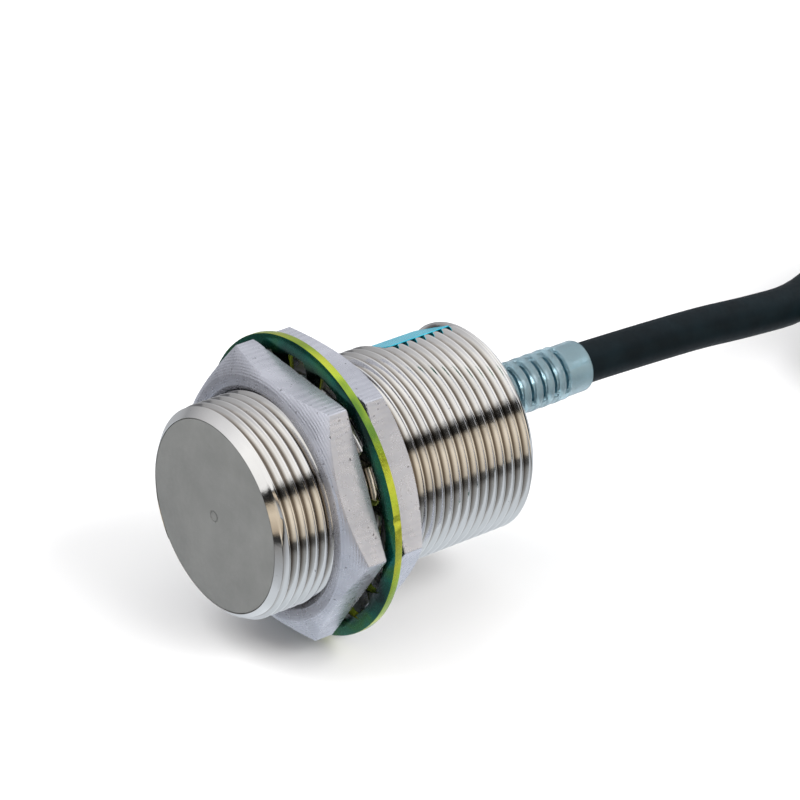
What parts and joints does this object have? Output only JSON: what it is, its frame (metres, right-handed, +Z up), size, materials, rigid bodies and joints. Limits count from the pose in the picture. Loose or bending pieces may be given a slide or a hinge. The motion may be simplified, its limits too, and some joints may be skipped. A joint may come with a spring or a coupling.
{
  "type": "proximity sensor",
  "caption": "Flush inductive proximity sensor in a threaded metal barrel, with hexagon nuts, a toothed lock washer, a ribbed clear strain relief and a cable tied in a hank.",
  "frame": {"origin": "centre of the sensing face, on the barrel's axis", "axes": "+Y runs along the barrel from the sensing face to the cable, +Z is up as the sensor lies on a table, +X is to the right when looking along +Y"},
  "size_m": [0.0556, 0.239, 0.0426],
  "materials": {
    "nickel": "nickel plated, turned and threaded",
    "nut_nickel": "nickel plated, tumbled flats and turned faces",
    "chromate": "yellow-green chromate over zinc",
    "face_plastic": "satin moulded grey",
    "label_blue": "printed film, plain blue",
    "clear_plastic": "clear moulded",
    "seal_rubber": "matt",
    "ferrite": "sintered",
    "bobbin_plastic": "moulded",
    "enamelled_copper": "enamelled wire",
    "black_plastic": "moulded",
    "board_green": "solder mask over glass laminate",
    "chip_ceramic": "ceramic with tinned ends",
    "led_amber": "amber lens",
    "screen_copper": "rolled foil",
    "resin": "cast",
    "clamp_brass": "drawn",
    "cable_black": "satin PVC jacket",
    "wire_brown": "PVC insulation",
    "wire_blue": "PVC insulation",
    "wire_black": "PVC insulation",
    "tinned": "tinned"
  },
  "bodies": {
    "sensor": {"barrel": "nickel", "name_label": "label_blue", "sensing_cap": "face_plastic", "cap_seal": "seal_rubber", "ferrite_core": "ferrite", "coil_bobbin": "bobbin_plastic", "sensing_coil": "enamelled_copper", "coil_wires": "enamelled_copper", "core_holder": "black_plastic", "circuit_board": "board_green", "control_ic": "black_plastic", "output_transistor": "black_plastic", "chip_parts": "chip_ceramic", "indicator_led": "led_amber", "brown_conductor": "wire_brown", "blue_conductor": "wire_blue", "black_conductor": "wire_black", "shield_foil": "screen_copper", "potting_resin": "resin", "rear_plug": "clear_plastic", "plug_seal": "seal_rubber", "strain_relief": "clear_plastic", "cable_entry": "cable_black", "cable_clamp": "clamp_brass", "cable": "cable_black", "cable_hank": "cable_black", "hank_ties": "black_plastic", "cable_tail": "cable_black", "brown_lead": "wire_brown", "blue_lead": "wire_blue", "black_lead": "wire_black", "lead_ferrules": "tinned"},
    "lock_washer": {"lock_washer": "chromate"},
    "front_nut": {"front_nut": "nut_nickel"},
    "rear_nut": {"rear_nut": "nut_nickel"}
  },
  "joints": [
    {"name": "front_nut_turn", "type": "hinge", "parent": "lock_washer", "child": "front_nut", "pos_m": [0, 0.0106, 0], "axis": [0, -1, 0], "range_deg": [0, 3960]},
    {"name": "lock_washer_travel", "type": "slide", "parent": "sensor", "child": "lock_washer", "axis": [0, -1, 0], "range_m": [0, 0.0166]},
    {"name": "rear_nut_travel", "type": "slide", "parent": "sensor", "child": "rear_nut", "axis": [0, 1, 0], "range_m": [0, 0.0195]}
  ],
  "couplings": [
    {"joint": "lock_washer_travel", "follows": "front_nut_turn", "m_per_rad": 0.00023873}
  ]
}
